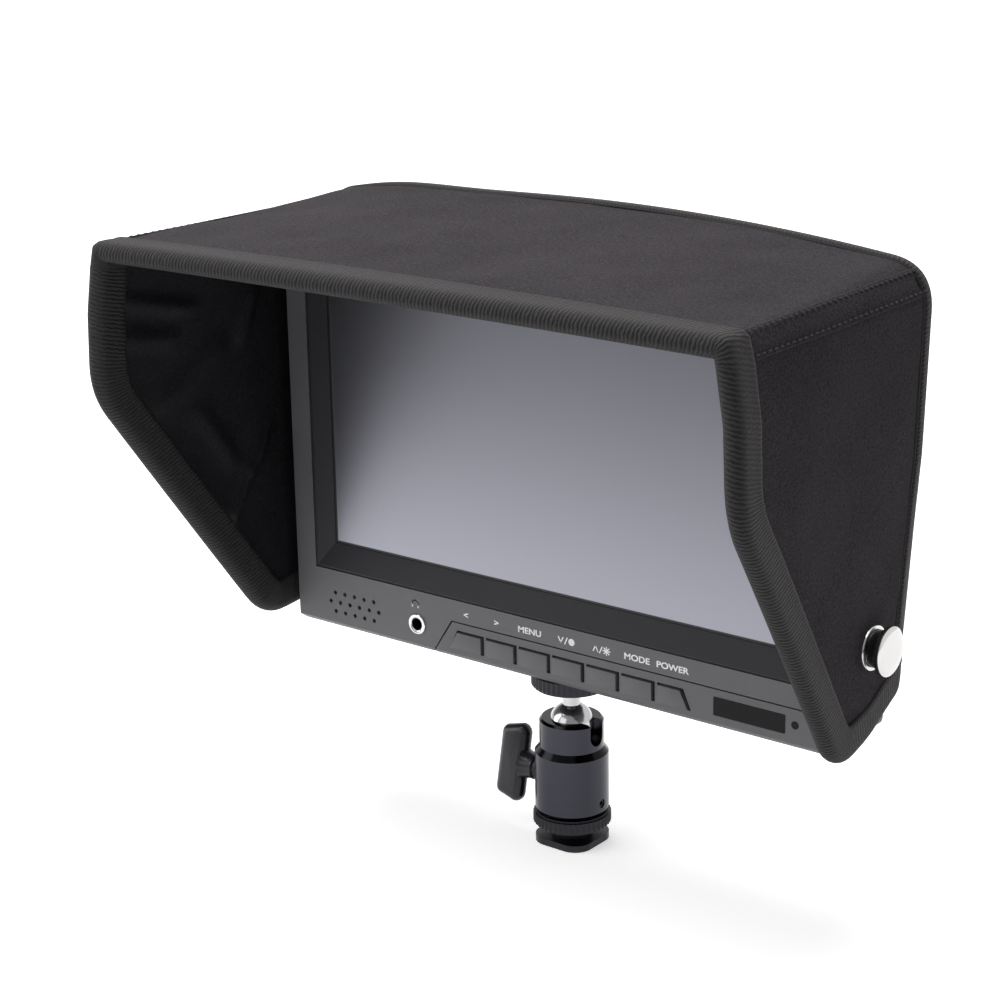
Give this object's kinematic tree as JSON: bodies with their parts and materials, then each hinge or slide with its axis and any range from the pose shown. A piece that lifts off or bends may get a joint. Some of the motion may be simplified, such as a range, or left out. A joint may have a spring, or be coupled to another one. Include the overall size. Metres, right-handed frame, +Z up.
{
  "type": "camera field monitor with sun hood",
  "caption": "Camera-top video monitor in a sewn sun hood held by side thumbscrews, on a slotted mini ball head with a knurled shoe foot.",
  "frame": {"origin": "centre of the underside of the accessory-shoe foot", "axes": "+Z up, the screen faces -Y, +X to the right of a viewer who looks at the screen"},
  "size_m": [0.2116, 0.1019, 0.1845],
  "materials": {
    "black_metal": "satin black, knurled",
    "anodised_barrel": "gloss black anodised",
    "steel": "plated steel",
    "knob_plastic": "black moulded plastic",
    "chrome_ball": "polished chrome",
    "chrome_trim": "polished chrome",
    "body_plastic": "fine textured dark grey ABS",
    "bezel_plastic": "dark grey ABS, sloping",
    "key_plastic": "dark grey ABS keys",
    "screen_glass": "anti-glare coated screen, switched off",
    "circuit_board": "green solder mask",
    "switch_plastic": "tact switch housings",
    "plate_black": "gloss black, blank",
    "brass_inserts": "turned brass",
    "hood_cloth": "charcoal padded cover cloth",
    "lining_nylon": "black nylon lining",
    "board_plastic": "stiffening board sewn inside",
    "binding_tape": "ribbed grosgrain binding"
  },
  "bodies": {
    "head": {"shoe_foot": "black_metal", "head_barrel": "anodised_barrel", "clamp_plunger": "steel", "grub_screw": "black_metal"},
    "lock_ring": {"shoe_lock_ring": "black_metal"},
    "clamp_knob": {"wing_knob": "knob_plastic", "knob_screw": "steel"},
    "ball": {"head_ball": "chrome_ball"},
    "neck": {"stud_neck": "chrome_ball"},
    "lock_disc": {"top_lock_disc": "black_metal"},
    "key_1": {"key_1": "key_plastic"},
    "key_2": {"key_2": "key_plastic"},
    "key_3": {"key_3": "key_plastic"},
    "key_4": {"key_4": "key_plastic"},
    "key_5": {"key_5": "key_plastic"},
    "key_6": {"key_6": "key_plastic"},
    "key_7": {"key_7": "key_plastic"},
    "hood_screw_left": {"thumbscrew_left": "chrome_trim"},
    "hood_screw_right": {"thumbscrew_right": "chrome_trim"},
    "monitor": {"front_frame": "body_plastic", "screen_bezel": "bezel_plastic", "key_panel": "body_plastic", "rear_cover": "body_plastic", "lcd_glass": "screen_glass", "lcd_module": "steel", "main_board": "circuit_board", "key_board": "circuit_board", "key_switches": "switch_plastic", "speaker": "knob_plastic", "headphone_jack": "chrome_trim", "name_plate": "plate_black", "sensor_window": "plate_black", "tripod_socket": "brass_inserts", "side_inserts": "brass_inserts", "case_screws": "black_metal", "board_screws": "steel", "dc_socket": "knob_plastic", "hdmi_socket": "steel", "av_sockets": "knob_plastic", "hood_top": "hood_cloth", "hood_left": "hood_cloth", "hood_right": "hood_cloth", "hood_back": "hood_cloth", "top_lining": "lining_nylon", "left_lining": "lining_nylon", "right_lining": "lining_nylon", "top_board": "board_plastic", "left_board": "board_plastic", "right_board": "board_plastic", "left_binding": "binding_tape", "right_binding": "binding_tape", "brim_binding": "binding_tape", "hem_binding": "binding_tape", "eyelets": "chrome_trim"}
  },
  "joints": [
    {"name": "lock_ring_turn", "type": "hinge", "parent": "head", "child": "lock_ring", "pos_m": [0, 0, 0.0075], "axis": [0, 0, 1], "continuous": true},
    {"name": "clamp_knob_turn", "type": "hinge", "parent": "head", "child": "clamp_knob", "pos_m": [-0.02, 0, 0.01905], "axis": [1, 0, 0], "continuous": true},
    {"name": "head_tilt", "type": "hinge", "parent": "head", "child": "ball", "pos_m": [0, 0, 0.0361], "axis": [1, 0, 0], "range_deg": [-30, 30]},
    {"name": "head_roll", "type": "hinge", "parent": "ball", "child": "neck", "pos_m": [0, 0, 0.0361], "axis": [0, 1, 0], "range_deg": [-35, 90]},
    {"name": "lock_disc_turn", "type": "hinge", "parent": "neck", "child": "lock_disc", "pos_m": [0, 0, 0.05], "axis": [0, 0, 1], "continuous": true},
    {"name": "monitor_pan", "type": "hinge", "parent": "neck", "child": "monitor", "pos_m": [0, 0, 0.053], "axis": [0, 0, 1], "continuous": true},
    {"name": "key_1_press", "type": "slide", "parent": "monitor", "child": "key_1", "axis": [0, 1, 0], "range_m": [0, 0.0006], "stiffness_N_per_m": 600, "springref_m": -0.0004},
    {"name": "key_2_press", "type": "slide", "parent": "monitor", "child": "key_2", "axis": [0, 1, 0], "range_m": [0, 0.0006], "stiffness_N_per_m": 600, "springref_m": -0.0004},
    {"name": "key_3_press", "type": "slide", "parent": "monitor", "child": "key_3", "axis": [0, 1, 0], "range_m": [0, 0.0006], "stiffness_N_per_m": 600, "springref_m": -0.0004},
    {"name": "key_4_press", "type": "slide", "parent": "monitor", "child": "key_4", "axis": [0, 1, 0], "range_m": [0, 0.0006], "stiffness_N_per_m": 600, "springref_m": -0.0004},
    {"name": "key_5_press", "type": "slide", "parent": "monitor", "child": "key_5", "axis": [0, 1, 0], "range_m": [0, 0.0006], "stiffness_N_per_m": 600, "springref_m": -0.0004},
    {"name": "key_6_press", "type": "slide", "parent": "monitor", "child": "key_6", "axis": [0, 1, 0], "range_m": [0, 0.0006], "stiffness_N_per_m": 600, "springref_m": -0.0004},
    {"name": "key_7_press", "type": "slide", "parent": "monitor", "child": "key_7", "axis": [0, 1, 0], "range_m": [0, 0.0006], "stiffness_N_per_m": 600, "springref_m": -0.0004},
    {"name": "hood_screw_left_turn", "type": "hinge", "parent": "monitor", "child": "hood_screw_left", "pos_m": [-0.1, -0.0055, 0.0826], "axis": [1, 0, 0], "continuous": true},
    {"name": "hood_screw_right_turn", "type": "hinge", "parent": "monitor", "child": "hood_screw_right", "pos_m": [0.1, -0.0055, 0.0826], "axis": [1, 0, 0], "continuous": true}
  ]
}
